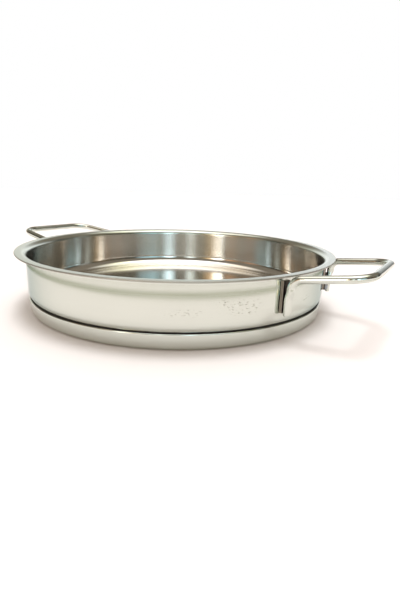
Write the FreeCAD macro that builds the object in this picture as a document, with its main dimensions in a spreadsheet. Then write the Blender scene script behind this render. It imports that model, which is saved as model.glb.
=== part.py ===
"""A low stainless-steel pan with two rod loop handles and an encapsulated base.

Millimetres. +X runs along the handles, +Z is up, and the origin is the centre of
the base's underside. The pan is a body of revolution about Z; the two handles are
the same piece, turned half a turn about Z.
"""
import FreeCAD, Part
import math
import os

import Sketcher
from FreeCAD import Placement, Rotation, Vector

# Driving sizes, kept in the document's spreadsheet under these aliases.
SIZES = {
    # The pressed shell.
    "inner_radius": 140.0,
    "wall": 1.2,
    "floor_height": 8.0,
    "floor_corner": 11.5,
    "lip_height": 52.6,
    "lip_radius": 149.8,
    "lip_edge": 0.7,
    "flare": 5.0,
    # The encapsulated base.
    "cap_gauge": 0.8,
    "cap_flat_radius": 137.7,
    "cap_corner": 2.6,
    "cap_side_radius": 140.3,
    "cap_side_start": 2.46,
    "cap_radius": 140.7,
    "cap_height": 12.4,
    "cap_edge": 0.8,
    "core_top": 11.95,
    "groove_top": 13.5,
    "upper_braze": 0.2,
    "lower_braze": 0.15,
    "lower_braze_radius": 136.0,
    # The handle rod: a loop that rises outwards, and two legs flattened at the foot.
    "rod_radius": 3.0,
    "loop_reach": 191.3,
    "loop_half_width": 42.0,
    "loop_end_height": 55.5,
    "loop_corner": 17.4,
    "knee_height": 48.4,
    "knee_bend": 8.5,
    "leg_distance": 146.9,
    "foot_azimuth": 19.4,
    "round_end": 40.5,
    "flat_start": 34.0,
    "flat_end": 20.5,
    "flat_distance": 145.8,
    "flat_half_gauge": 2.0,
    "foot_half_width": 3.9,
    "flat_end_round": 1.2,
    # The channel bracket and the weld between each foot and the wall.
    "bracket_back": 139.0,
    "bracket_face": 142.7,
    "bracket_bottom": 22.0,
    "bracket_top": 47.0,
    "plate_outside": 3.0,
    "web_inside": 2.1,
    "web_top": 38.5,
    "web_round": 0.6,
    "weld_bottom": 23.0,
    "weld_top": 35.0,
}

# The two feet of a handle, and the two handles with their turns about Z in degrees.
SIDES = ((1, "rear"), (-1, "front"))
HANDLES = (("right", 0.0), ("left", 180.0))
FULL_TURN = 360.0
# Below this difference, in millimetres, two heights count as the same.
LEVEL_TOLERANCE = 1e-4
CUBIC_MM_PER_CM3 = 1000.0

doc = FreeCAD.newDocument("two_handled_pan")
sheet = doc.addObject("Spreadsheet::Sheet", "sizes")
for row, (alias, millimetres) in enumerate(SIZES.items(), start=1):
    sheet.set(f"A{row}", alias)
    sheet.set(f"B{row}", str(millimetres))
    sheet.setAlias(f"B{row}", alias)
doc.recompute()


def size(alias):
    """The number that the sheet holds under an alias."""
    return float(sheet.get(alias))


def number(formula):
    """The value of a formula of aliases, such as "floor_height - wall", or 0 if empty."""
    total = 0.0
    sign = 1.0
    for word in formula.split():
        if word in "+-":
            sign = 1.0 if word == "+" else -1.0
        else:
            total += sign * size(word)
    return total


def bound(formula):
    """The same formula as an expression on the sheet's cells."""
    return " ".join(word if word in "+-" else f"sizes.{word}" for word in formula.split())


def origin_feature(body, role):
    """One of the body's own origin planes or axes."""
    return next(item for item in body.Origin.OriginFeatures if item.Role == role)


def new_body(label, turn=0.0):
    """A body that names a file, turned about Z by some degrees."""
    body = doc.addObject("PartDesign::Body", label)
    body.Label = label
    body.Placement = Placement(Vector(), Rotation(Vector(0, 0, 1), turn))
    return body


def new_sketch(body, name, plane):
    """A sketch on one of the body's origin planes."""
    sketch = body.newObject("Sketcher::SketchObject", f"{body.Name}_{name}")
    sketch.AttachmentSupport = [(origin_feature(body, plane), "")]
    sketch.MapMode = "FlatFace"
    return sketch


def bind(sketch, index, formula):
    """Drives one dimension of a sketch from the sheet."""
    sketch.setExpression(f"Constraints[{index}]", bound(formula))


def pin(sketch, edge, point, x, y):
    """Holds a point of a sketch at the formulas x and y; an empty formula means the axis."""
    for kind, formula, axis in (("DistanceX", x, -2), ("DistanceY", y, -1)):
        if formula:
            index = sketch.addConstraint(Sketcher.Constraint(kind, edge, point, number(formula)))
            bind(sketch, index, formula)
        else:
            sketch.addConstraint(Sketcher.Constraint("PointOnObject", edge, point, axis))


def arc_centre(start, end, radius, turns_left):
    """Centre of the shorter arc from start to end that turns left or right on the way."""
    chord = end - start
    across = Vector(-chord.y, chord.x, 0).normalize()
    rise = math.sqrt(radius**2 - (chord.Length / 2) ** 2)
    return (start + end) / 2 + across * (rise if turns_left else -rise)


def closed_outline(sketch, corners):
    """Draws corners (x, y) or (x, y, arc radius, turn), the arc leading to the next corner."""
    points = [Vector(number(corner[0]), number(corner[1]), 0) for corner in corners]
    starts = []
    ends = []
    for index, corner in enumerate(corners):
        start = points[index]
        end = points[(index + 1) % len(points)]
        if len(corner) == 2:
            edge = sketch.addGeometry(Part.LineSegment(start, end))
            starts.append((edge, 1))
            ends.append((edge, 2))
        else:
            radius = number(corner[2])
            turns_left = corner[3] == "left"
            centre = arc_centre(start, end, radius, turns_left)
            first, last = (start, end) if turns_left else (end, start)
            angles = [math.atan2(point.y - centre.y, point.x - centre.x) for point in (first, last)]
            circle = Part.Circle(centre, Vector(0, 0, 1), radius)
            edge = sketch.addGeometry(Part.ArcOfCircle(circle, *angles))
            starts.append((edge, 1 if turns_left else 2))
            ends.append((edge, 2 if turns_left else 1))
            dimension = Sketcher.Constraint("Radius", edge, radius)
            bind(sketch, sketch.addConstraint(dimension), corner[2])
    for index, corner in enumerate(corners):
        pin(sketch, *starts[index], corner[0], corner[1])
        following = starts[(index + 1) % len(corners)]
        sketch.addConstraint(Sketcher.Constraint("Coincident", *ends[index], *following))


def revolve(body, corners):
    """Turns an outline in the body's XZ plane once about Z."""
    sketch = new_sketch(body, "profile", "XZ_Plane")
    closed_outline(sketch, corners)
    turned = body.newObject("PartDesign::Revolution", f"{body.Name}_turned")
    turned.Profile = sketch
    turned.ReferenceAxis = (sketch, ["V_Axis"])
    turned.Angle = FULL_TURN


def circle_sketch(body, name, radius, height=""):
    """A level circle about the sketch's own origin, at a height."""
    sketch = new_sketch(body, name, "XY_Plane")
    if height:
        sketch.setExpression("AttachmentOffset.Base.z", bound(height))
    edge = sketch.addGeometry(Part.Circle(Vector(), Vector(0, 0, 1), number(radius)))
    sketch.addConstraint(Sketcher.Constraint("Coincident", edge, 3, -1, 1))
    dimension = Sketcher.Constraint("Radius", edge, number(radius))
    bind(sketch, sketch.addConstraint(dimension), radius)
    return sketch


def pocket(body, sketch, length, reversed_cut=False, midplane=False):
    """Cuts a sketch out of a body and makes sure that it took something away."""
    doc.recompute()
    before = body.Shape.Volume
    cut = body.newObject("PartDesign::Pocket", f"{sketch.Name}_cut")
    cut.Profile = sketch
    cut.Reversed = reversed_cut
    cut.Midplane = midplane
    cut.setExpression("Length", bound(length))
    doc.recompute()
    if not body.Shape.Volume < before:
        raise RuntimeError(f"{cut.Name} cut nothing")


def make_shell():
    """The pressed pan: flat floor, rounded corner, straight wall and a flat pouring lip."""
    body = new_body("pan_shell")
    revolve(body, [
        ("", "floor_height - wall"),
        ("inner_radius - floor_corner", "floor_height - wall", "floor_corner + wall", "left"),
        ("inner_radius + wall", "floor_height + floor_corner"),
        ("inner_radius + wall", "lip_height - flare", "flare - wall", "right"),
        ("inner_radius + flare", "lip_height - wall"),
        ("lip_radius", "lip_height - wall", "lip_edge", "left"),
        ("lip_radius", "lip_height"),
        ("inner_radius + flare", "lip_height", "flare", "left"),
        ("inner_radius", "lip_height - flare"),
        ("inner_radius", "floor_height + floor_corner", "floor_corner", "right"),
        ("inner_radius - floor_corner", "floor_height"),
        ("", "floor_height"),
    ])
    return body


def make_upper_braze():
    """The braze between shell and core; its edge shows as the dark line round the pan."""
    body = new_body("upper_braze_layer")
    revolve(body, [
        ("", "floor_height - wall - upper_braze"),
        ("inner_radius - floor_corner", "floor_height - wall - upper_braze",
         "floor_corner + wall + upper_braze", "left"),
        ("inner_radius + wall + upper_braze", "floor_height + floor_corner"),
        ("inner_radius + wall", "floor_height + floor_corner", "floor_corner + wall", "right"),
        ("inner_radius - floor_corner", "floor_height - wall"),
        ("", "floor_height - wall"),
    ])
    trim = circle_sketch(body, "trim", "lip_radius", "groove_top")
    pocket(body, trim, "lip_height", reversed_cut=True)
    return body


def make_core():
    """The heat-spreading core: it fills the cap up to the shell's corner."""
    body = new_body("aluminium_core")
    revolve(body, [
        ("", "cap_gauge"),
        ("cap_flat_radius", "cap_gauge", "cap_corner - cap_gauge", "left"),
        ("cap_side_radius - cap_gauge", "cap_side_start"),
        ("cap_radius - cap_gauge", "cap_height"),
        ("lip_radius", "floor_height + floor_corner"),
        ("inner_radius + wall + upper_braze", "floor_height + floor_corner",
         "floor_corner + wall + upper_braze", "right"),
        ("inner_radius - floor_corner", "floor_height - wall - upper_braze"),
        ("", "floor_height - wall - upper_braze"),
    ])
    trim = circle_sketch(body, "trim", "lip_radius", "core_top")
    pocket(body, trim, "lip_height", reversed_cut=True)
    recess = circle_sketch(body, "recess", "lower_braze_radius", "cap_gauge")
    pocket(body, recess, "lower_braze", reversed_cut=True)
    return body


def make_lower_braze():
    """The braze between core and cap, a thin disc in the core's shallow recess."""
    body = new_body("lower_braze_layer")
    disc = body.newObject("PartDesign::Pad", "lower_braze_disc")
    disc.Profile = circle_sketch(body, "disc", "lower_braze_radius", "cap_gauge")
    disc.setExpression("Length", bound("lower_braze"))
    return body


def make_cap():
    """The steel capsule under the core: a flat underside and a slightly tapered side."""
    body = new_body("base_cap")
    revolve(body, [
        ("", ""),
        ("cap_flat_radius", "", "cap_corner", "left"),
        ("cap_side_radius", "cap_side_start"),
        ("cap_radius", "cap_height - cap_edge", "cap_edge", "left"),
        ("cap_radius - cap_gauge", "cap_height"),
        ("cap_side_radius - cap_gauge", "cap_side_start", "cap_corner - cap_gauge", "right"),
        ("cap_flat_radius", "cap_gauge"),
        ("", "cap_gauge"),
    ])
    return body


def rod_path(points, radii):
    """A bent rod's centreline: straight runs joined by tangent arcs at the inner points."""
    edges = []
    position = points[0]
    for before, corner, after, radius in zip(points, points[1:], points[2:], radii):
        back = (before - corner).normalize()
        ahead = (after - corner).normalize()
        half_angle = back.getAngle(ahead) / 2
        run = radius / math.tan(half_angle)
        start = corner + back * run
        end = corner + ahead * run
        inward = (back + ahead).normalize()
        middle = corner + inward * (radius / math.sin(half_angle) - radius)
        edges.append(Part.LineSegment(position, start).toShape())
        edges.append(Part.Arc(start, middle, end).toShape())
        position = end
    edges.append(Part.LineSegment(position, points[-1]).toShape())
    return Part.Wire(edges)


def handle_centreline(name):
    """The rod's centreline, from one leg up, round the loop and down the other leg."""
    azimuth = math.radians(size("foot_azimuth"))
    leg_x = size("leg_distance") * math.cos(azimuth)
    leg_y = size("leg_distance") * math.sin(azimuth)
    rear_half = [
        Vector(leg_x, leg_y, size("round_end")),
        Vector(leg_x, leg_y, size("knee_height")),
        Vector(size("loop_reach"), size("loop_half_width"), size("loop_end_height")),
    ]
    front_half = [Vector(point.x, -point.y, point.z) for point in reversed(rear_half)]
    bends = [size("knee_bend"), size("loop_corner"), size("loop_corner"), size("knee_bend")]
    line = doc.addObject("Part::Feature", name)
    line.Shape = rod_path(rear_half + front_half, bends)
    return line


def to_leg(sketch, side, distance):
    """Moves a level sketch out to a leg, its x axis pointing away from the pan's axis."""
    azimuth = f"({side} * sizes.foot_azimuth)"
    sketch.setExpression("AttachmentOffset.Base.x", f"sizes.{distance} * cos({azimuth})")
    sketch.setExpression("AttachmentOffset.Base.y", f"sizes.{distance} * sin({azimuth})")
    sketch.setExpression("AttachmentOffset.Rotation.Yaw", azimuth)


def round_section(body, name, side):
    """The round rod's section where the leg starts to flatten."""
    sketch = circle_sketch(body, name, "rod_radius", "round_end")
    to_leg(sketch, side, "leg_distance")
    return sketch


def flat_section(body, name, side):
    """The pressed foot's section: flat faces along the wall and full round sides."""
    sketch = new_sketch(body, name, "XY_Plane")
    sketch.setExpression("AttachmentOffset.Base.z", bound("flat_start"))
    to_leg(sketch, side, "flat_distance")
    radius = size("flat_half_gauge")
    reach = number("foot_half_width - flat_half_gauge")
    up = Vector(0, 0, 1)
    rear = Part.ArcOfCircle(Part.Circle(Vector(0, reach, 0), up, radius), 0, math.pi)
    front = Part.ArcOfCircle(Part.Circle(Vector(0, -reach, 0), up, radius), math.pi, 2 * math.pi)
    inner = Part.LineSegment(Vector(-radius, reach, 0), Vector(-radius, -reach, 0))
    outer = Part.LineSegment(Vector(radius, -reach, 0), Vector(radius, reach, 0))
    rear, inner, front, outer = (sketch.addGeometry(e) for e in (rear, inner, front, outer))
    for first, second in ((rear, inner), (inner, front), (front, outer), (outer, rear)):
        sketch.addConstraint(Sketcher.Constraint("Tangent", first, 2, second, 1))
    sketch.addConstraint(Sketcher.Constraint("Symmetric", rear, 3, front, 3, -1, 1))
    sketch.addConstraint(Sketcher.Constraint("PointOnObject", rear, 3, -2))
    half_width = Sketcher.Constraint("DistanceY", rear, 3, reach)
    bind(sketch, sketch.addConstraint(half_width), "foot_half_width - flat_half_gauge")
    gauge = Sketcher.Constraint("Radius", rear, radius)
    bind(sketch, sketch.addConstraint(gauge), "flat_half_gauge")
    return sketch


def edges_at(shape, height):
    """Names of a shape's edges that lie level at a height."""
    return [
        f"Edge{index}"
        for index, edge in enumerate(shape.Edges, start=1)
        if edge.BoundBox.ZLength < LEVEL_TOLERANCE
        and abs(edge.BoundBox.ZMin - height) < LEVEL_TOLERANCE
    ]


def make_handle(label, turn):
    """One rod: a loop whose two ends bend down and are pressed flat."""
    body = new_body(label, turn)
    path = handle_centreline(f"{label}_centreline")
    loop = body.newObject("PartDesign::AdditivePipe", f"{label}_loop")
    loop.Profile = round_section(body, "start", 1)
    loop.Spine = (path, [f"Edge{index + 1}" for index in range(len(path.Shape.Edges))])
    for side, word in SIDES:
        flat = flat_section(body, f"{word}_flat", side)
        doc.recompute()
        neck = body.newObject("PartDesign::AdditiveLoft", f"{label}_{word}_neck")
        neck.Profile = round_section(body, f"{word}_round", side)
        neck.Sections = [flat]
        doc.recompute()
        foot = body.newObject("PartDesign::Pad", f"{label}_{word}_foot")
        foot.Profile = flat
        foot.Reversed = True
        foot.setExpression("Length", bound("flat_start - flat_end"))
    doc.recompute()
    ends = body.newObject("PartDesign::Fillet", f"{label}_foot_ends")
    ends.Base = (foot, edges_at(foot.Shape, size("flat_end")))
    ends.setExpression("Radius", bound("flat_end_round"))
    return body


def upright(body, sketch, bottom, top):
    """Pads a level sketch from one height to another."""
    sketch.setExpression("AttachmentOffset.Base.z", bound(bottom))
    pad = body.newObject("PartDesign::Pad", f"{body.Name}_pad")
    pad.Profile = sketch
    pad.setExpression("Length", bound(f"{top} - {bottom}"))


def make_bracket(label, side, turn):
    """A channel between wall and foot: a plate that hugs the wall, and a web on one side."""
    body = new_body(label, turn)
    plan = new_sketch(body, "plan", "XY_Plane")
    outer, inner = ("", "- ") if side > 0 else ("- ", "")
    closed_outline(plan, [
        ("bracket_back", outer + "plate_outside"),
        ("bracket_face", outer + "plate_outside"),
        ("bracket_face", inner + "web_inside"),
        ("flat_distance - flat_half_gauge", inner + "web_inside"),
        ("flat_distance - flat_half_gauge", inner + "foot_half_width"),
        ("bracket_back", inner + "foot_half_width"),
    ])
    upright(body, plan, "bracket_bottom", "bracket_top")
    wall = circle_sketch(body, "wall", "inner_radius + wall")
    pocket(body, wall, "lip_height", reversed_cut=True)
    window = new_sketch(body, "window", "XZ_Plane")
    closed_outline(window, [
        ("bracket_face", "web_top + web_round", "web_round", "left"),
        ("bracket_face + web_round", "web_top"),
        ("flat_distance", "web_top"),
        ("flat_distance", "lip_height"),
        ("bracket_face", "lip_height"),
    ])
    pocket(body, window, "lip_height", midplane=True)
    return body


def make_weld(label, side, turn):
    """The weld that fills the corner between the web's end and the foot's round side."""
    body = new_body(label, turn)
    plan = new_sketch(body, "plan", "XY_Plane")
    sign = "- " if side > 0 else ""
    back = "flat_half_gauge - foot_half_width" if side > 0 else "foot_half_width - flat_half_gauge"
    closed_outline(plan, [
        ("flat_distance - flat_half_gauge", back),
        ("flat_distance - flat_half_gauge", sign + "foot_half_width"),
        ("flat_distance", sign + "foot_half_width", "flat_half_gauge",
         "right" if side > 0 else "left"),
    ])
    upright(body, plan, "weld_bottom", "weld_top")
    return body


nodes = [make_shell(), make_upper_braze(), make_core(), make_lower_braze(), make_cap()]
for hand, turn in HANDLES:
    nodes.append(make_handle(f"{hand}_handle_rod", turn))
    for side, word in SIDES:
        # A half turn takes a handle's rear foot to the front of the pan.
        place = word if hand == "right" else {"rear": "front", "front": "rear"}[word]
        foot_turn = turn + side * size("foot_azimuth")
        nodes.append(make_bracket(f"{hand}_{place}_bracket", side, foot_turn))
        nodes.append(make_weld(f"{hand}_{place}_weld", side, foot_turn))
doc.recompute()

for item in doc.Objects:
    if "Invalid" in item.State or "Error" in item.State:
        raise RuntimeError(f"{item.Label} did not compute: {item.State}")
os.makedirs("parts", exist_ok=True)
for node in nodes:
    shape = node.Shape
    if shape.isNull() or not shape.isValid() or len(shape.Solids) != 1:
        raise RuntimeError(f"{node.Label} is not one valid solid")
    shape.exportStep(f"parts/{node.Label}.step")
    print(f"{node.Label}: {shape.Volume / CUBIC_MM_PER_CM3:.2f} cm3")
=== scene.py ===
"""The looks of a low two-handled stainless-steel pan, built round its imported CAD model.

Metres, in the CAD model's frame: +X runs along the two handles, +Z is up, and the pan
stands on z = 0. The shell, the base cap, the handle rods, their brackets and welds get
meshes with finer shape and one material per finish; the braze and the core keep the
CAD model's meshes. Sizes are written in millimetres and turned into metres by MM.
"""
import math

import bmesh
import bpy
from mathutils import Matrix, Vector


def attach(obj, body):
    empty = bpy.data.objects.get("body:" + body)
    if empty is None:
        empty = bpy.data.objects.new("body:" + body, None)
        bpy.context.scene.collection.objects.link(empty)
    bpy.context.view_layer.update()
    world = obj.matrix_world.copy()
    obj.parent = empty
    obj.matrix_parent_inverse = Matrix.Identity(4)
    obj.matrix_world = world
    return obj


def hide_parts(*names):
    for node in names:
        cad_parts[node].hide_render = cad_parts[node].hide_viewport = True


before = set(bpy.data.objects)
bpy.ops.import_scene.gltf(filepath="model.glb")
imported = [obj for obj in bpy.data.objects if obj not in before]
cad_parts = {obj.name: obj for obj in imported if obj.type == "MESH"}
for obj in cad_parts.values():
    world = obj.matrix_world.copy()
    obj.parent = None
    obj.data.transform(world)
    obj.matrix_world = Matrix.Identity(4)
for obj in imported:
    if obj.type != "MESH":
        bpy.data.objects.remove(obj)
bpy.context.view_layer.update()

MM = 0.001

# The pressed shell and the base cap, in millimetres, as the CAD model has them.
INNER_RADIUS = 140.0
WALL = 1.2
FLOOR_HEIGHT = 8.0
FLOOR_CORNER = 11.5
LIP_HEIGHT = 52.6
LIP_RADIUS = 149.8
LIP_EDGE = 0.7
FLARE = 5.0
CAP_GAUGE = 0.8
CAP_FLAT_RADIUS = 137.7
CAP_CORNER = 2.6
CAP_SIDE_RADIUS = 140.3
CAP_SIDE_START = 2.46
CAP_RADIUS = 140.7
CAP_HEIGHT = 12.4
CAP_EDGE = 0.8

# The handle rod, in millimetres.
ROD_RADIUS = 3.0
LOOP_REACH = 191.3
LOOP_HALF_WIDTH = 42.0
LOOP_END_HEIGHT = 55.5
LOOP_CORNER = 17.4
KNEE_HEIGHT = 48.4
KNEE_BEND = 8.5
LEG_DISTANCE = 146.9
FOOT_AZIMUTH = 19.4
ROUND_END = 40.5
FLAT_START = 34.0
FLAT_END = 20.5
FLAT_DISTANCE = 145.8
FLAT_HALF_GAUGE = 2.0
FOOT_HALF_WIDTH = 3.9
FLAT_END_ROUND = 1.2

# The channel bracket and its weld, in millimetres.
BRACKET_FACE = 142.7
BRACKET_BOTTOM = 22.0
BRACKET_TOP = 47.0
PLATE_OUTSIDE = 3.0
WEB_INSIDE = 2.1
WEB_TOP = 38.5
PRESSED_ROLL = 0.3
WELD_BOTTOM = 23.0
WELD_TOP = 35.0
# The bead: how far it reaches past the foot's inner face and past its middle, its crown
# between ripples and what a ripple adds, how deep its edges and its root lie, how far in
# the root is from the bead's inner edge and from the foot's middle, and its ripples.
WELD_INNER_REACH = 0.7
WELD_OUTER_REACH = 0.5
WELD_CROWN = 0.22
WELD_RIPPLE = 0.14
WELD_EDGE_DEPTH = 0.25
WELD_ROOT_DEPTH = 1.0
WELD_ROOT_INSET = 0.3
WELD_ROOT_GAP = 0.6
WELD_RIPPLES = 13

# How finely things are divided: steps round a turn, a rod and a stage circle, and about
# how long a step is along an arc or a bend, in degrees, and a straight rod, in millimetres.
TURN_STEPS = 288
ROD_STEPS = 40
CIRCLE_STEPS = 96
ARC_STEP = 7.5
BEND_STEP = 6.0
STRAIGHT_STEP = 3.0
# Parts that a straight stretch of the profile is cut into.
WALL_PARTS = 12
LIP_PARTS = 4
CAP_SIDE_PARTS = 5
# Radii, from the axis outwards, of the rings that divide the flat faces.
FLOOR_RINGS = (20, 50, 80, 105, 120, 127)
FLOOR_UNDER_RINGS = (40, 80, 120)
UNDERSIDE_RINGS = (25, 60, 95, 120, 134)
CAP_INSIDE_RINGS = (50, 95)
# Heights of the rings on a foot's flat part, and steps round its end and where it is pressed.
FLAT_RINGS = (24.0, 27.0, 30.0, 32.0)
FLAT_END_STEPS = 5
PRESS_STEPS = 10
# How far below the flat part's top the pressing starts to let go.
PRESS_LEAD = 1.0
# How many millimetres of rod one step of its texture's length takes.
ROD_TEXTURE_LENGTH = 100.0


# ---------------------------------------------------------------- meshes

def finish_mesh(name, bm, materials, turn=0.0, sharp_angle=35.0):
    """Makes a bmesh given in millimetres into a smooth-shaded object that rides on the pan,
    turned about Z."""
    bmesh.ops.rotate(bm, cent=(0, 0, 0), matrix=Matrix.Rotation(turn, 3, "Z"), verts=bm.verts)
    bmesh.ops.scale(bm, vec=(MM, MM, MM), verts=bm.verts)
    bmesh.ops.recalc_face_normals(bm, faces=bm.faces)
    mesh = bpy.data.meshes.new(name)
    bm.to_mesh(mesh)
    bm.free()
    mesh.shade_smooth()
    mesh.set_sharp_from_angle(angle=math.radians(sharp_angle))
    for material in materials:
        mesh.materials.append(material)
    piece = bpy.data.objects.new(name, mesh)
    bpy.context.scene.collection.objects.link(piece)
    weighted = piece.modifiers.new("weighted_normals", "WEIGHTED_NORMAL")
    weighted.keep_sharp = True
    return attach(piece, "root")


def skin(bm, lower, upper):
    """Quads between two closed rings that have as many points each."""
    faces = []
    for number in range(len(lower)):
        following = (number + 1) % len(lower)
        corners = [lower[number], lower[following], upper[following], upper[number]]
        faces.append(bm.faces.new(corners))
    return faces


def arc(centre, radius, start, end):
    """Points of an arc in a plane, from one angle in degrees to another, both ends included."""
    steps = max(2, round(abs(end - start) / ARC_STEP))
    angles = [math.radians(start + (end - start) * step / steps) for step in range(steps + 1)]
    return [
        (centre[0] + radius * math.cos(angle), centre[1] + radius * math.sin(angle))
        for angle in angles
    ]


def shallow_arc(start, end, radius):
    """Points of the shorter arc between two points that turns left on the way."""
    chord = Vector(end) - Vector(start)
    across = Vector((-chord.y, chord.x)).normalized()
    rise = math.sqrt(radius**2 - (chord.length / 2) ** 2)
    centre = (Vector(start) + Vector(end)) / 2 + across * rise
    first = math.degrees(math.atan2(start[1] - centre.y, start[0] - centre.x))
    last = math.degrees(math.atan2(end[1] - centre.y, end[0] - centre.x))
    return arc(centre, radius, first, last if last > first else last + 360)


def divided(start, end, parts):
    """Points that divide a straight stretch, without its ends."""
    return [
        tuple(Vector(start).lerp(Vector(end), part / parts)) for part in range(1, parts)
    ]


def lathe(name, stretches, materials):
    """Turns a closed profile about Z. A stretch is (material index, points); the next
    stretch's first point ends it. Points on the axis become one vertex each."""
    profile = [(point, index) for index, points in stretches for point in points]
    bm = bmesh.new()
    rings = []
    for (radius, height), _ in profile:
        if radius == 0:
            rings.append([bm.verts.new((0, 0, height))])
            continue
        ring = []
        for step in range(TURN_STEPS):
            angle = math.tau * step / TURN_STEPS
            ring.append(bm.verts.new((radius * math.cos(angle), radius * math.sin(angle), height)))
        rings.append(ring)
    for number, (_, index) in enumerate(profile):
        here = rings[number]
        after = rings[(number + 1) % len(rings)]
        if len(here) == 1 and len(after) == 1:
            continue
        for step in range(TURN_STEPS):
            following = (step + 1) % TURN_STEPS
            corners = [here[step % len(here)], here[following % len(here)],
                       after[following % len(after)], after[step % len(after)]]
            face = bm.faces.new(list(dict.fromkeys(corners)))
            face.material_index = index
    return finish_mesh(name, bm, materials)


def make_shell(inside_wall, inside_floor, lip, outside, sheared_edge):
    """The pressed pan: polished inside, brushed lip, satin outside."""
    wall_in, floor_in, lip_face, outer_face, cut_edge = range(5)
    corner_top = FLOOR_HEIGHT + FLOOR_CORNER
    flare_start = LIP_HEIGHT - FLARE
    flare_end = INNER_RADIUS + FLARE
    outer = INNER_RADIUS + WALL
    under_floor = FLOOR_HEIGHT - WALL
    under_lip = LIP_HEIGHT - WALL
    corner = (INNER_RADIUS - FLOOR_CORNER, corner_top)
    flare = (flare_end, flare_start)
    edge = shallow_arc((LIP_RADIUS, under_lip), (LIP_RADIUS, LIP_HEIGHT), LIP_EDGE)
    shell = lathe("shell", [
        (floor_in, [(radius, FLOOR_HEIGHT) for radius in (0, *FLOOR_RINGS)]),
        (floor_in, arc(corner, FLOOR_CORNER, -90, 0)[:-1]),
        (wall_in, [(INNER_RADIUS, corner_top)]),
        (wall_in, divided((INNER_RADIUS, corner_top), (INNER_RADIUS, flare_start), WALL_PARTS)),
        (lip_face, arc(flare, FLARE, 180, 90)),
        (lip_face, divided((flare_end, LIP_HEIGHT), (LIP_RADIUS, LIP_HEIGHT), LIP_PARTS)),
        (cut_edge, edge[::-1]),
        (lip_face, divided((LIP_RADIUS, under_lip), (flare_end, under_lip), LIP_PARTS)),
        (lip_face, arc(flare, FLARE - WALL, 90, 180)[:-1]),
        (outer_face, [(outer, flare_start)]),
        (outer_face, divided((outer, flare_start), (outer, corner_top), WALL_PARTS)),
        (outer_face, arc(corner, FLOOR_CORNER + WALL, 0, -90)),
        (outer_face, [(radius, under_floor) for radius in (*FLOOR_UNDER_RINGS[::-1], 0)]),
    ], [inside_wall, inside_floor, lip, outside, sheared_edge])
    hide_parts("pan_shell")
    return shell


def make_cap(side, underside):
    """The steel capsule of the base: a slightly tapered side and a flat underside."""
    side_face, flat_face = range(2)
    foot = (CAP_SIDE_RADIUS, CAP_SIDE_START)
    brim = (CAP_RADIUS, CAP_HEIGHT - CAP_EDGE)
    inner_brim = (CAP_RADIUS - CAP_GAUGE, CAP_HEIGHT)
    inner_foot = (CAP_SIDE_RADIUS - CAP_GAUGE, CAP_SIDE_START)
    inner_corner = shallow_arc((CAP_FLAT_RADIUS, CAP_GAUGE), inner_foot, CAP_CORNER - CAP_GAUGE)
    cap = lathe("capsule", [
        (flat_face, [(radius, 0.0) for radius in (0, *UNDERSIDE_RINGS)]),
        (side_face, shallow_arc((CAP_FLAT_RADIUS, 0.0), foot, CAP_CORNER)),
        (side_face, divided(foot, brim, CAP_SIDE_PARTS)),
        (side_face, shallow_arc(brim, inner_brim, CAP_EDGE)),
        (side_face, inner_corner[::-1]),
        (flat_face, [(radius, CAP_GAUGE) for radius in (*CAP_INSIDE_RINGS[::-1], 0)]),
    ], [side, underside])
    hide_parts("base_cap")
    return cap


def rod_stations():
    """Half of a rod's centreline as (point, direction): up the rear leg and round to y = 0."""
    azimuth = math.radians(FOOT_AZIMUTH)
    leg_x = LEG_DISTANCE * math.cos(azimuth)
    leg_y = LEG_DISTANCE * math.sin(azimuth)
    corners = [
        Vector((leg_x, leg_y, ROUND_END)),
        Vector((leg_x, leg_y, KNEE_HEIGHT)),
        Vector((LOOP_REACH, LOOP_HALF_WIDTH, LOOP_END_HEIGHT)),
        Vector((LOOP_REACH, 0.0, LOOP_END_HEIGHT)),
    ]
    stations = []
    position = corners[0]
    for before, corner, after, radius in zip(
        corners, corners[1:], corners[2:], (KNEE_BEND, LOOP_CORNER)
    ):
        back = (before - corner).normalized()
        ahead = (after - corner).normalized()
        half_angle = back.angle(ahead) / 2
        run = radius / math.tan(half_angle)
        start = corner + back * run
        centre = corner + (back + ahead).normalized() * (radius / math.sin(half_angle))
        straight = max(1, round((start - position).length / STRAIGHT_STEP))
        stations += [(position.lerp(start, step / straight), -back) for step in range(straight)]
        turn = math.pi - 2 * half_angle
        axis = (-back).cross(ahead).normalized()
        bends = round(math.degrees(turn) / BEND_STEP)
        for step in range(bends):
            rotation = Matrix.Rotation(turn * step / bends, 3, axis)
            stations.append((centre + rotation @ (start - centre), rotation @ -back))
        position = corner + ahead * run
    straight = round((corners[-1] - position).length / STRAIGHT_STEP)
    ahead = (corners[-1] - position).normalized()
    stations += [
        (position.lerp(corners[-1], step / straight), ahead) for step in range(straight + 1)
    ]
    return stations


def smooth(value):
    """A smooth step from 0 to 1."""
    value = min(max(value, 0.0), 1.0)
    return value * value * (3 - 2 * value)


def ring_angles():
    """Where a rod ring's points lie, in radians: half a step off, so that no sine is 0."""
    return [math.tau * (number + 0.5) / ROD_STEPS for number in range(ROD_STEPS)]


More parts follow.
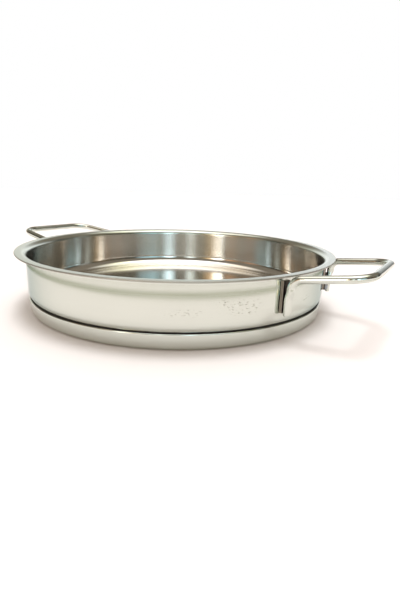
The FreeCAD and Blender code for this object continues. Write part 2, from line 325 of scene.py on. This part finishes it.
def foot_rings():
    """Rings of the rear foot from its rounded end up to where the leg is round, as lists
    of points. Pressing the rod flat makes it wider and thinner and moves it to the wall."""
    azimuth = math.radians(FOOT_AZIMUTH)
    outward = Vector((math.cos(azimuth), math.sin(azimuth), 0))
    along = Vector((-math.sin(azimuth), math.cos(azimuth), 0))
    levels = []
    for step in range(FLAT_END_STEPS + 1):
        angle = math.radians(90 * step / FLAT_END_STEPS)
        inset = FLAT_END_ROUND * (1 - math.sin(angle))
        levels.append((FLAT_END + FLAT_END_ROUND * (1 - math.cos(angle)), inset))
    levels += [(height, 0.0) for height in FLAT_RINGS]
    for step in range(PRESS_STEPS):
        levels.append((FLAT_START + (ROUND_END - FLAT_START) * step / PRESS_STEPS, 0.0))
    release = FLAT_START - PRESS_LEAD
    rings = []
    for height, inset in levels:
        share = smooth((height - release) / (ROUND_END - release))
        gauge = FLAT_HALF_GAUGE + (ROD_RADIUS - FLAT_HALF_GAUGE) * share
        spread = (FOOT_HALF_WIDTH - FLAT_HALF_GAUGE) * (1 - share)
        distance = FLAT_DISTANCE + (LEG_DISTANCE - FLAT_DISTANCE) * share
        ring = []
        for angle in ring_angles():
            sideways = (gauge - inset) * math.sin(angle) + math.copysign(spread, math.sin(angle))
            out = distance + (gauge - inset) * math.cos(angle)
            ring.append(outward * out + along * sideways + Vector((0, 0, height)))
        rings.append(ring)
    return rings


def loop_rings():
    """Round rings along the half loop; each keeps its first point where the last one had it."""
    azimuth = math.radians(FOOT_AZIMUTH)
    side = Vector((math.cos(azimuth), math.sin(azimuth), 0))
    rings = []
    for point, direction in rod_stations():
        side = (side - direction * side.dot(direction)).normalized()
        other = direction.cross(side)
        ring = []
        for angle in ring_angles():
            offset = side * math.cos(angle) + other * math.sin(angle)
            ring.append(point + offset * ROD_RADIUS)
        rings.append(ring)
    return rings


def make_rod(name, node, turn, material):
    """One handle rod: half a loop with its pressed foot, mirrored, and turned about Z."""
    bm = bmesh.new()
    length = bm.loops.layers.uv.new("along_rod")
    rings = foot_rings() + loop_rings()
    travelled = [0.0]
    for before, after in zip(rings, rings[1:]):
        middles = [sum(ring, Vector()) / len(ring) for ring in (before, after)]
        travelled.append(travelled[-1] + (middles[1] - middles[0]).length)
    for mirror in (1, -1):
        flip = Vector((1, mirror, 1))
        rows = [[bm.verts.new(point * flip) for point in ring] for ring in rings]
        for row, (lower, upper) in enumerate(zip(rows, rows[1:])):
            for number, face in enumerate(skin(bm, lower, upper)):
                around = (number, number + 1, number + 1, number)
                along = (row, row, row + 1, row + 1)
                for loop, across, place in zip(face.loops, around, along):
                    distance = mirror * travelled[place] / ROD_TEXTURE_LENGTH
                    loop[length].uv = (across / ROD_STEPS, distance)
        bm.faces.new(rows[0])
    # The halves meet in the middle of the end bar.
    bmesh.ops.remove_doubles(bm, verts=bm.verts, dist=0.001)
    rod = finish_mesh(name, bm, [material], turn)
    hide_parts(node)
    return rod


def make_bracket(name, node, side, turn, material):
    """A channel: a plate that hugs the wall, and a web towards the loop's inside."""
    outer = INNER_RADIUS + WALL
    half = FOOT_HALF_WIDTH
    back_steps = 6
    back = []
    for step in range(back_steps + 1):
        across = -half + (half + PLATE_OUTSIDE) * step / back_steps
        back.append((math.sqrt(outer**2 - across**2), across))
    web_end = FLAT_DISTANCE - FLAT_HALF_GAUGE
    plate_edge = [(BRACKET_FACE, PLATE_OUTSIDE), (BRACKET_FACE, -WEB_INSIDE)]
    web = [(web_end, -WEB_INSIDE), (web_end, -half)]
    shoulder = [(BRACKET_FACE, -half)]
    bm = bmesh.new()

    def level(points, height):
        return [bm.verts.new((x, side * y, height)) for x, y in points]

    channel = back + plate_edge + web + shoulder
    foot = level(channel, BRACKET_BOTTOM)
    waist = level(channel, WEB_TOP)
    bm.faces.new(foot)
    skin(bm, foot, waist)
    # The web stops at the waist, and the plate goes on up without the web's two points.
    bm.faces.new(waist[-4:])
    plate = waist[:-3] + waist[-1:]
    top = level(back + plate_edge + shoulder, BRACKET_TOP)
    skin(bm, plate, top)
    bm.faces.new(top)
    bracket = finish_mesh(name, bm, [material], turn)
    bevel = bracket.modifiers.new("pressed_edges", "BEVEL")
    bevel.width = PRESSED_ROLL * MM
    bevel.segments = 3
    bevel.limit_method = "ANGLE"
    bevel.angle_limit = math.radians(40)
    bevel.harden_normals = True
    # The edges are rolled before the normals are weighted.
    bracket.modifiers.move(1, 0)
    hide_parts(node)
    return bracket


def make_weld(name, node, side, turn, material):
    """A short bead of overlapping ripples in the corner between web and foot."""
    steps_per_ripple = 6
    rows = WELD_RIPPLES * steps_per_ripple
    inner_x = FLAT_DISTANCE - FLAT_HALF_GAUGE - WELD_INNER_REACH
    outer_x = FLAT_DISTANCE + WELD_OUTER_REACH
    root_y = side * (WELD_ROOT_DEPTH - FOOT_HALF_WIDTH)
    face_steps = 8
    # The crown follows half a wave, cut off a little at both ends and made blunter by powers.
    end_cut = 0.04
    end_bluntness = 0.35
    face_bluntness = 0.6
    bm = bmesh.new()
    rings = []
    for row in range(rows + 1):
        height = WELD_BOTTOM + (WELD_TOP - WELD_BOTTOM) * row / rows
        ripple = abs(math.sin(math.pi * row / steps_per_ripple))
        end_share = end_cut + (1 - 2 * end_cut) * row / rows
        taper = math.sin(math.pi * end_share) ** end_bluntness
        crown = (WELD_CROWN + WELD_RIPPLE * ripple) * taper
        ring = []
        for step in range(face_steps + 1):
            share = step / face_steps
            x = inner_x + (outer_x - inner_x) * share
            rise = (crown + WELD_EDGE_DEPTH) * math.sin(math.pi * share) ** face_bluntness
            ring.append((x, side * (WELD_EDGE_DEPTH - FOOT_HALF_WIDTH - rise), height))
        ring.append((FLAT_DISTANCE - WELD_ROOT_GAP, root_y, height))
        ring.append((inner_x + WELD_ROOT_INSET, root_y, height))
        rings.append([bm.verts.new(point) for point in ring])
    for lower, upper in zip(rings, rings[1:]):
        skin(bm, lower, upper)
    bm.faces.new(rings[0])
    bm.faces.new(rings[-1])
    weld = finish_mesh(name, bm, [material], turn, sharp_angle=60.0)
    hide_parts(node)
    return weld


# ---------------------------------------------------------------- materials

class Shade:
    """One material's node tree, with a short call for each kind of node."""

    def __init__(self, name):
        self.material = bpy.data.materials.new(name)
        self.material.use_nodes = True
        self.tree = self.material.node_tree
        self.shader = self.tree.nodes["Principled BSDF"]

    def add(self, kind, inputs=(), **settings):
        """A node with its settings, its inputs given by number or name."""
        node = self.tree.nodes.new(kind)
        for key, value in settings.items():
            setattr(node, key, value)
        pairs = inputs.items() if isinstance(inputs, dict) else enumerate(inputs)
        for socket, value in pairs:
            self.feed(node.inputs[socket], value)
        return node

    def feed(self, socket, value):
        """Links a node's output to a socket, or sets its value."""
        if isinstance(value, bpy.types.NodeSocket):
            self.tree.links.new(value, socket)
        else:
            socket.default_value = value

    def maths(self, operation, first, second=0.0):
        """A Math node's result."""
        return self.add("ShaderNodeMath", (first, second), operation=operation).outputs[0]

    def spread(self, value, low, high, bottom=0.0, top=1.0):
        """Maps a value from one range to another, held at the ends."""
        node = self.add("ShaderNodeMapRange", (value, low, high, bottom, top))
        return node.outputs[0]

    def noise(self, vector, scale, detail=2.0, roughness=0.5):
        """A noise between 0 and 1."""
        inputs = {"Vector": vector, "Scale": scale, "Detail": detail, "Roughness": roughness}
        return self.add("ShaderNodeTexNoise", inputs).outputs["Fac"]

    def mix(self, share, first, second):
        """A colour between two colours."""
        node = self.add("ShaderNodeMix", {"Factor": share, "A": first, "B": second},
                        data_type="RGBA")
        return node.outputs["Result"]

    def place(self):
        """The point's x, y and z in the pan's frame."""
        position = self.add("ShaderNodeTexCoord").outputs["Object"]
        return self.add("ShaderNodeSeparateXYZ", (position,)).outputs

    def from_axis(self, x, y):
        """The distance from the pan's axis, from a place's x and y."""
        squares = self.maths("ADD", self.maths("MULTIPLY", x, x), self.maths("MULTIPLY", y, y))
        return self.maths("SQRT", squares)

    def weighted(self, first, second, share):
        """A sum of two values: a share of the first and the rest of the second."""
        rest = self.maths("MULTIPLY", second, 1 - share)
        return self.maths("ADD", self.maths("MULTIPLY", first, share), rest)

    def turned(self, around, across):
        """Coordinates for marks left by turning: slow round the axis, fast along the profile."""
        x, y, z = self.place()
        radius = self.from_axis(x, y)
        # On the axis itself there is no direction round it to divide out.
        divisor = self.maths("MAXIMUM", radius, 1.0 * MM)
        along_x = self.maths("MULTIPLY", self.maths("DIVIDE", x, divisor), around)
        along_y = self.maths("MULTIPLY", self.maths("DIVIDE", y, divisor), around)
        profile = self.maths("MULTIPLY", self.maths("ADD", radius, z), across)
        return self.add("ShaderNodeCombineXYZ", (along_x, along_y, profile)).outputs[0]

    def scuffs(self, patches):
        """1 on small dark marks inside soft patches given as azimuth and height of the
        middle and half the size each way, in degrees and millimetres; 0 elsewhere."""
        x, y, z = self.place()
        angle = self.maths("ARCTAN2", x, self.maths("MULTIPLY", y, -1.0))
        inside = 0.0
        for azimuth, height, half_angle, half_height in patches:
            aside = self.maths("SUBTRACT", angle, math.radians(azimuth))
            aside = self.maths("DIVIDE", aside, math.radians(half_angle))
            up = self.maths("SUBTRACT", z, height * MM)
            up = self.maths("DIVIDE", up, half_height * MM)
            away = self.maths("ADD", self.maths("MULTIPLY", aside, aside),
                              self.maths("MULTIPLY", up, up))
            near = self.spread(away, SCUFF_FADE, 1.0, 1.0, 0.0)
            inside = self.maths("MAXIMUM", inside, near)
        spot = self.add("ShaderNodeCombineXYZ", (self.maths("MULTIPLY", angle, MARKS_AROUND),
                                                 self.maths("MULTIPLY", z, MARKS_UP))).outputs[0]
        speck = self.spread(self.noise(spot, 1.0, 3.0, 0.6), *SCUFF_LEVELS)
        return self.maths("MULTIPLY", inside, speck)

    def bump(self, height, distance, strength=1.0):
        """A normal from a height, its full range worth a distance in metres."""
        inputs = {"Height": height, "Distance": distance, "Strength": strength}
        self.feed(self.shader.inputs["Normal"], self.add("ShaderNodeBump", inputs).outputs[0])


def steel(name, colour, roughness, anisotropic=0.0, rotation=0.0, tangent=True):
    """The start of a steel: a metal with its tint, and its grain round the pan's axis."""
    shade = Shade(name)
    shader = shade.shader.inputs
    shader["Base Color"].default_value = (*colour, 1.0)
    shader["Metallic"].default_value = 1.0
    shader["Roughness"].default_value = roughness
    shader["Anisotropic"].default_value = anisotropic
    shader["Anisotropic Rotation"].default_value = rotation
    if tangent:
        grain = shade.add("ShaderNodeTangent", direction_type="RADIAL", axis="Z")
        shade.feed(shader["Tangent"], grain.outputs[0])
    return shade


def scaled(colour, factor):
    """A colour made lighter or darker, with its alpha."""
    return tuple(min(1.0, part * factor) for part in colour) + (1.0,)


def brushed(name, colour, roughness, anisotropic, line_depth, cloud=0.06, patches=()):
    """Steel with fine turned lines line_depth metres deep: roughness varies by line between
    the two given, the tint by line and broad patch by a share cloud either way, and small
    dark scuffs lie in the given patches."""
    low, high = roughness
    shade = steel(name, colour, (low + high) / 2, anisotropic, QUARTER_TURN)
    fine = shade.noise(shade.turned(*FINE_LINES), 1.0, 3.0, 0.6)
    medium = shade.noise(shade.turned(*MEDIUM_LINES), 1.0, 2.0)
    broad = shade.noise(shade.turned(*BROAD_PATCHES), 1.0, 2.0)
    lines = shade.weighted(fine, medium, 0.6)
    rough = shade.spread(lines, 0.3, 0.7, low, high)
    tint = shade.weighted(lines, broad, 0.5)
    tone = shade.mix(
        shade.spread(tint, 0.35, 0.65), scaled(colour, 1 - cloud), scaled(colour, 1 + cloud))
    if patches:
        marks = shade.scuffs(patches)
        cover = shade.maths("MULTIPLY", marks, SCUFF_COVER)
        tone = shade.mix(cover, tone, scaled(SCUFF, 1))
        rough = shade.maths("ADD", rough, shade.maths("MULTIPLY", marks, SCUFF_ROUGHNESS))
    shade.feed(shade.shader.inputs["Roughness"], rough)
    shade.feed(shade.shader.inputs["Base Color"], tone)
    shade.bump(lines, line_depth)
    return shade


STEEL = (0.65, 0.675, 0.62)
EDGE_TINT = (0.6, 0.66, 0.66, 1.0)
BRIGHT_STEEL = (0.73, 0.71, 0.67)
BRACKET_STEEL = (0.36, 0.31, 0.27)
# The cut edge's colour: darker than the steel as painted shade along the lip's edge.
SHEARED_STEEL_AND_SHADE = (0.42, 0.4, 0.36)
WELD_STEEL = (0.5, 0.46, 0.4)
STRAW_TINT = (0.42, 0.33, 0.22, 1)
BLUE_TINT = (0.42, 0.44, 0.5, 1)
# The braze's colours: its own dark oxide, darkened further as painted shade for the groove between
# cap and shell.
BRAZE_AND_SHADE = (0.06, 0.05, 0.04)
BRAZE_DARK_AND_SHADE = (0.015, 0.012, 0.01, 1)
BRAZE_PALE_AND_SHADE = (0.05, 0.04, 0.033, 1)
CORE_METAL = (0.3, 0.29, 0.27)
CORE_DARK = (0.02, 0.018, 0.016, 1)
CORE_PALE = (0.05, 0.045, 0.04, 1)
SCUFF = (0.2, 0.19, 0.14)
# Painted shade: the dark colour given to the bracket's faces in and round the channels behind the
# handles' feet.
CHANNEL_SHADE = (0.05, 0.042, 0.035)
# The turned lines and patches: waves round the axis, and lines per metre of the profile.
FINE_LINES = (3.0, 2600.0)
MEDIUM_LINES = (2.0, 420.0)
BROAD_PATCHES = (1.5, 26.0)
# How far the highlight's stretch is turned from the grain, in whole turns.
QUARTER_TURN = 0.25
# How often scuffs come per radian round the wall and per metre up it.
MARKS_AROUND = 50.0
MARKS_UP = 1000.0
# The noise levels between which a scuff fades in, where in a patch scuffs start to thin
# out (as the square of the way to its edge), how much a scuff covers and how it roughens.
SCUFF_LEVELS = (0.58, 0.66)
SCUFF_FADE = 0.2
SCUFF_COVER = 0.85
SCUFF_ROUGHNESS = 0.3
# Where the wall is scuffed: azimuth from -Y towards +X, height, and the half sizes of
# both, in degrees and millimetres.
WALL_SCUFFS = (
    (38.5, 27.5, 6.5, 3.5),
    (51.0, 34.0, 4.0, 4.0),
    (56.0, 31.0, 7.0, 7.0),
    (60.0, 41.5, 6.0, 2.5),
    (-16.0, 42.5, 1.8, 1.8),
    (83.0, 29.0, 4.0, 3.0),
    (150.0, 30.0, 12.0, 5.0),
    (-100.0, 28.0, 9.0, 6.0),
    (-165.0, 36.0, 10.0, 4.0),
)


def make_outside():
    """Satin steel that darkens where it is seen edge on."""
    shade = brushed("outside_satin", STEEL, (0.07, 0.11), anisotropic=0.5,
                    line_depth=1e-7, cloud=0.03, patches=WALL_SCUFFS)
    shade.shader.inputs["Specular Tint"].default_value = EDGE_TINT
    return shade.material


def make_inside_wall():
    """The wall inside, polished round the axis."""
    return brushed("inside_polished", BRIGHT_STEEL, (0.15, 0.19), anisotropic=1.0,
                   line_depth=2e-7, cloud=0.03).material


def make_inside_floor():
    """The floor inside, a little shinier than the wall."""
    return brushed("floor_polished", BRIGHT_STEEL, (0.1, 0.14), anisotropic=0.7,
                   line_depth=4e-7, cloud=0.03).material


def make_lip():
    """The flared lip."""
    return brushed("lip_brushed", STEEL, (0.18, 0.26), anisotropic=0.5,
                   line_depth=4e-7, cloud=0.04).material


def make_sheared_edge():
    """The lip's cut edge: duller than the rest, and darker as painted shade for the dark line
    along the lip's edge.
    """
    return brushed("edge_sheared_and_shaded", SHEARED_STEEL_AND_SHADE, (0.4, 0.5), anisotropic=0.3,
                   line_depth=2e-6, cloud=0.1).material


def make_cap_side():
    """The capsule's side."""
    return brushed("cap_satin", STEEL, (0.12, 0.16), anisotropic=0.6,
                   line_depth=2e-7, cloud=0.04).material


def make_underside():
    """The capsule's underside, turned rougher than the rest."""
    return brushed("underside_turned", STEEL, (0.34, 0.46), anisotropic=0.6,
                   line_depth=8e-6).material


def make_rod_steel():
    """Polished rod with faint lengthwise lines."""
    shade = steel("rod_polished", STEEL, 0.15, tangent=False)
    place = shade.add("ShaderNodeUVMap", uv_map="along_rod").outputs[0]
    stretched = shade.add("ShaderNodeMapping", {"Vector": place, "Scale": (60.0, 6.0, 1.0)})
    lines = shade.noise(stretched.outputs[0], 1.0, 4.0, 0.6)
    shade.feed(shade.shader.inputs["Roughness"], shade.spread(lines, 0.3, 0.7, 0.1, 0.2))
    shade.feed(shade.shader.inputs["Base Color"], shade.mix(
        shade.spread(lines, 0.3, 0.7), scaled(STEEL, 0.94), scaled(STEEL, 1.04)))
    shade.bump(lines, 3e-6)
    return shade.material


def make_bracket_steel():
    """Satin steel, with painted shade: the faces in and round the channel are coloured dark."""
    shade = steel("bracket_satin", BRACKET_STEEL, 0.35, tangent=False)
    position = shade.add("ShaderNodeTexCoord").outputs["Object"]
    grain = shade.noise(position, 900.0, 3.0)
    x, y, _ = shade.place()
    # Painted shade: from the plate's outer face outwards, where the channel lies, the bracket is
    # coloured dark.
    inside = shade.spread(shade.from_axis(x, y), (BRACKET_FACE - 0.4) * MM, BRACKET_FACE * MM)
    unshaded = shade.mix(grain, scaled(BRACKET_STEEL, 0.8), scaled(BRACKET_STEEL, 1.1))
    shade.feed(shade.shader.inputs["Roughness"], shade.spread(grain, 0.3, 0.7, 0.28, 0.42))
    shade.feed(shade.shader.inputs["Base Color"], shade.mix(inside, unshaded, scaled(CHANNEL_SHADE, 1)))
    shade.bump(grain, 6e-6)
    return shade.material


def make_weld_steel():
    """Weld metal with a straw and blue heat tint in patches."""
    shade = steel("weld_tinted", WELD_STEEL, 0.4, tangent=False)
    position = shade.add("ShaderNodeTexCoord").outputs["Object"]
    patches = shade.noise(position, 420.0, 2.0)
    shade.feed(shade.shader.inputs["Base Color"], shade.mix(
        shade.spread(patches, 0.35, 0.65), STRAW_TINT, BLUE_TINT))
    shade.feed(shade.shader.inputs["Roughness"], shade.spread(patches, 0.3, 0.7, 0.3, 0.5))
    shade.bump(shade.noise(position, 2500.0, 2.0), 2e-5)
    return shade.material


def make_braze_and_groove_shade():
    """Oxidised braze, uneven like burnt flux, coloured darker still as painted shade for the
    groove between cap and shell.
    """
    shade = steel("braze_oxide_and_shade", BRAZE_AND_SHADE, 0.6, tangent=False)
    shade.shader.inputs["Metallic"].default_value = 0.4
    position = shade.add("ShaderNodeTexCoord").outputs["Object"]
    patches = shade.noise(position, 160.0, 4.0)
    shade.feed(shade.shader.inputs["Base Color"], shade.mix(
        shade.spread(patches, 0.35, 0.7), BRAZE_DARK_AND_SHADE, BRAZE_PALE_AND_SHADE))
    shade.bump(patches, 8e-5)
    return shade.material


def make_core_metal():
    """The aluminium core's rim, dulled by heat."""
    shade = steel("core_dull", CORE_METAL, 0.5, tangent=False)
    position = shade.add("ShaderNodeTexCoord").outputs["Object"]
    grain = shade.noise(position, 700.0, 3.0)
    shade.feed(shade.shader.inputs["Base Color"], shade.mix(grain, CORE_DARK, CORE_PALE))
    shade.bump(grain, 2e-5)
    return shade.material


# ---------------------------------------------------------------- the studio

# What the steel mirrors round the horizon: degrees from -Y towards +X, and the light there.
ROOM = (
    (-180, (0.15, 0.15, 0.14)),
    (-134, (0.7, 0.72, 0.68)),
    (-113, (0.6, 0.6, 0.52)),
    (-98, (0.5, 0.48, 0.38)),
    (-87, (0.3, 0.23, 0.18)),
    (-80, (0.2, 0.12, 0.08)),
    (-74, (0.03, 0.02, 0.012)),
    (-58, (0.03, 0.028, 0.02)),
    (-50, (0.14, 0.13, 0.1)),
    (-35, (0.6, 0.34, 0.2)),
    (-26, (0.22, 0.17, 0.11)),
    (-13, (0.9, 0.5, 0.26)),
    (-9, (0.3, 0.2, 0.12)),
    (-5, (6.6, 6.4, 6.0)),
    (0, (5.6, 5.0, 4.2)),
    (5, (1.5, 1.0, 0.5)),
    (13, (0.24, 0.2, 0.11)),
    (18, (0.25, 0.24, 0.17)),
    (25, (2.0, 2.3, 2.3)),
    (31, (0.25, 0.24, 0.2)),
    (38, (0.16, 0.16, 0.13)),
    (45, (2.9, 3.9, 4.4)),
    (53, (0.4, 0.6, 0.65)),
    (61, (0.7, 1.2, 1.4)),
    (71, (0.5, 0.8, 0.9)),
    (79, (0.04, 0.04, 0.03)),
    (103, (0.03, 0.025, 0.01)),
    (111, (0.16, 0.11, 0.05)),
    (121, (0.06, 0.05, 0.03)),
    (133, (0.35, 0.37, 0.35)),
    (144, (0.05, 0.05, 0.045)),
)
# The room's walls above its windows and lamps.
UPPER_WALLS = (0.24, 0.21, 0.165)
# The bright ceiling high above the pan, given in the same way.
SKYLIGHTS = (
    (-180, (1.3, 1.3, 1.25)),
    (-100, (1.35, 1.3, 1.2)),
    (-50, (1.9, 1.65, 1.35)),
    (-19, (2.8, 2.8, 2.8)),
    (97, (2.8, 2.8, 2.7)),
    (111, (3.0, 3.0, 2.2)),
    (140, (1.5, 1.45, 1.15)),
)
# The white backdrop behind the pan, which is low: its top shows in the lip.
BACKDROP_CARD = (
    (-180, (0.7, 0.72, 0.74)),
    (-160, (0.75, 0.77, 0.8)),
    (-140, (0.4, 0.41, 0.42)),
    (-126, (0.3, 0.3, 0.3)),
    (-115, (0.0, 0.0, 0.0)),
    (165, (0.0, 0.0, 0.0)),
)
# Elevations in degrees: where the windows and lamps give way to the walls above, where
# those give way to the ceiling, and where the backdrop's top fades out.
WALLS_BEGIN = (12, 30)
CEILING_BEGINS = (48, 64)
BACKDROP_ENDS = (12, 17)
BACKDROP = (1.0, 1.0, 1.0)
# The warm light that the room sends back into the shadows on the table.
FILL = (0.38, 0.25, 0.18)


def make_room():
    """The world: a room for the steel to mirror, white for the camera, and a dim warm
    fill for everything matt."""
    world = bpy.data.worlds.new("studio")
    bpy.context.scene.world = world
    world.use_nodes = True
    tree = world.node_tree
    tree.nodes.clear()

    def add(kind, inputs=(), **settings):
        node = tree.nodes.new(kind)
        for key, value in settings.items():
            setattr(node, key, value)
        for number, value in inputs:
            if isinstance(value, bpy.types.NodeSocket):
                tree.links.new(value, node.inputs[number])
            else:
                node.inputs[number].default_value = value
        return node

    def round_the_table(share, stops):
        """Colours by direction, blended from stop to stop all the way round."""
        ramp = add("ShaderNodeValToRGB", [(0, share)])
        elements = ramp.color_ramp.elements
        for degrees, colour in stops[1:]:
            elements.new((degrees + 180) / 360).color = (*colour, 1)
        elements[0].color = (*stops[0][1], 1)
        elements[-1].color = (*stops[0][1], 1)
        return ramp.outputs[0]

    def blend(share, first, second):
        inputs = [("Factor", share), ("A", first), ("B", second)]
        return add("ShaderNodeMix", inputs, data_type="RGBA").outputs["Result"]

    def above(height, low, high):
        """0 below one elevation and 1 above another, in degrees."""
        inputs = [(0, height), (1, math.sin(math.radians(low))), (2, math.sin(math.radians(high)))]
        return add("ShaderNodeMapRange", inputs, interpolation_type="SMOOTHSTEP").outputs[0]

    direction = add("ShaderNodeTexCoord").outputs["Generated"]
    x, y, z = add("ShaderNodeSeparateXYZ", [(0, direction)]).outputs
    ahead = add("ShaderNodeMath", [(0, y), (1, -1.0)], operation="MULTIPLY").outputs[0]
    angle = add("ShaderNodeMath", [(0, x), (1, ahead)], operation="ARCTAN2").outputs[0]
    share = add("ShaderNodeMapRange", [(0, angle), (1, -math.pi), (2, math.pi)]).outputs[0]
    walls = blend(above(z, *WALLS_BEGIN), round_the_table(share, ROOM), (*UPPER_WALLS, 1))
    walls = blend(above(z, *CEILING_BEGINS), walls, round_the_table(share, SKYLIGHTS))
    card = blend(above(z, *BACKDROP_ENDS), round_the_table(share, BACKDROP_CARD), (0, 0, 0, 1))
    mirrored = add("ShaderNodeMix", [("Factor", 1.0), ("A", walls), ("B", card)],
                   data_type="RGBA", blend_type="ADD").outputs["Result"]
    path = add("ShaderNodeLightPath").outputs
    matt = blend(path["Is Diffuse Ray"], mirrored, (*FILL, 1))
    colour = blend(path["Is Camera Ray"], matt, (*BACKDROP, 1))
    light = add("ShaderNodeBackground", [(0, colour)])
    output = add("ShaderNodeOutputWorld")
    tree.links.new(light.outputs[0], output.inputs[0])


def stage_mesh(name, bm, material):
    """A mesh of the set, in metres, that isn't part of the pan."""
    mesh = bpy.data.meshes.new(name)
    bm.to_mesh(mesh)
    bm.free()
    mesh.materials.append(material)
    item = bpy.data.objects.new(name, mesh)
    bpy.context.scene.collection.objects.link(item)
    return item


TABLE_WHITE = (0.86, 0.86, 0.86, 1)
TABLE_RADIUS = 4000.0


def make_floor():
    """A plain white table top."""
    shade = Shade("table_white")
    shade.shader.inputs["Base Color"].default_value = TABLE_WHITE
    shade.shader.inputs["Roughness"].default_value = 0.9
    shade.shader.inputs["Specular IOR Level"].default_value = 0.1
    bm = bmesh.new()
    bmesh.ops.create_circle(bm, cap_ends=True, segments=CIRCLE_STEPS, radius=TABLE_RADIUS * MM)
    stage_mesh("table_top", bm, shade.material)


# The darker band that only mirrors see, some way out on the table: its edges, how far
# they blend and its height over the table, in millimetres.
SURROUND_START = 270.0
SURROUND_END = 302.0
SURROUND_BLEND = 5.0
SURROUND_HEIGHT = 0.5
SURROUND_COLOUR = (0.6, 0.59, 0.46)


def make_surround():
    """A darker ring on the table round the pan, as the steel mirrors it."""
    shade = Shade("surround_olive")
    tree = shade.tree
    tree.nodes.remove(shade.shader)
    x, y, _ = shade.place()
    radius = shade.from_axis(x, y)
    inner = SURROUND_START * MM
    outer = SURROUND_END * MM
    blend = SURROUND_BLEND * MM
    rise = shade.spread(radius, inner, inner + blend)
    fall = shade.spread(radius, outer - blend, outer, 1.0, 0.0)
    clear = shade.add("ShaderNodeBsdfTransparent")
    olive = shade.add("ShaderNodeEmission", {"Color": (*SURROUND_COLOUR, 1)})
    share = shade.maths("MULTIPLY", rise, fall)
    mixed = shade.add("ShaderNodeMixShader", (share, clear.outputs[0], olive.outputs[0]))
    tree.links.new(mixed.outputs[0], tree.nodes["Material Output"].inputs["Surface"])
    bm = bmesh.new()
    rims = [
        bmesh.ops.create_circle(bm, segments=CIRCLE_STEPS, radius=rim)["verts"]
        for rim in (inner, outer)
    ]
    skin(bm, *rims)
    bmesh.ops.translate(bm, vec=(0, 0, SURROUND_HEIGHT * MM), verts=bm.verts)
    ring = stage_mesh("table_surround", bm, shade.material)
    ring.visible_camera = False
    ring.visible_diffuse = False
    ring.visible_shadow = False
    ring.visible_transmission = False


# Two lights from above that the steel doesn't mirror, as (energy, angle across, turn about
# X and Y): one small that gives the lip's tight shadow, one wide and from behind.
LAMPS = {
    "tight_overhead": (1.62, 22, -3, 0),
    "soft_overhead": (1.8, 90, -16, -10),
}


def make_lights():
    """The light that falls on the table."""
    for name, (energy, across, about_x, about_y) in LAMPS.items():
        data = bpy.data.lights.new(name, "SUN")
        data.energy = energy
        data.angle = math.radians(across)
        lamp = bpy.data.objects.new(name, data)
        lamp.rotation_euler = (math.radians(about_x), math.radians(about_y), 0)
        lamp.visible_glossy = False
        bpy.context.scene.collection.objects.link(lamp)


# Where the camera is and what it aims at in the pan's millimetres, its roll in degrees, and
# its focal length and sensor in millimetres.
CAMERA_PLACE = (241.8, -326.8, 114.3)
CAMERA_AIM = (19.5, 12.6, -2.4)
CAMERA_ROLL = 1.76
CAMERA_LENS = 24.5
CAMERA_SENSOR = 36.0


def make_camera():
    """The photograph's view: a wide lens close to the pan, a little above its rim."""
    data = bpy.data.cameras.new("camera")
    data.lens = CAMERA_LENS
    data.sensor_width = CAMERA_SENSOR
    camera = bpy.data.objects.new("camera", data)
    bpy.context.scene.collection.objects.link(camera)
    place = Vector(CAMERA_PLACE) * MM
    aim = Vector(CAMERA_AIM) * MM
    look = (aim - place).to_track_quat("-Z", "Y").to_matrix().to_4x4()
    roll = Matrix.Rotation(math.radians(CAMERA_ROLL), 4, "Z")
    camera.matrix_world = Matrix.Translation(place) @ look @ roll
    bpy.context.scene.camera = camera


# ---------------------------------------------------------------- the pan

make_camera()
make_room()
make_floor()
make_surround()
make_lights()
bpy.context.scene.view_settings.view_transform = "Standard"

make_shell(make_inside_wall(), make_inside_floor(), make_lip(), make_outside(),
           make_sheared_edge())
make_cap(make_cap_side(), make_underside())

rod_steel = make_rod_steel()
bracket_steel = make_bracket_steel()
weld_steel = make_weld_steel()
for hand, turn in (("right", 0.0), ("left", math.pi)):
    make_rod(f"{hand}_rod", f"{hand}_handle_rod", turn, rod_steel)
    for side, word in ((1, "rear"), (-1, "front")):
        # A half turn takes a handle's rear foot to the front of the pan.
        place = word if hand == "right" else {"rear": "front", "front": "rear"}[word]
        foot_turn = turn + side * math.radians(FOOT_AZIMUTH)
        make_bracket(f"{hand}_{place}_channel", f"{hand}_{place}_bracket",
                     side, foot_turn, bracket_steel)
        make_weld(f"{hand}_{place}_bead", f"{hand}_{place}_weld", side, foot_turn, weld_steel)

braze = make_braze_and_groove_shade()
core_metal = make_core_metal()
for node, material in (("upper_braze_layer", braze), ("lower_braze_layer", braze),
                       ("aluminium_core", core_metal)):
    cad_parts[node].material_slots[0].material = material
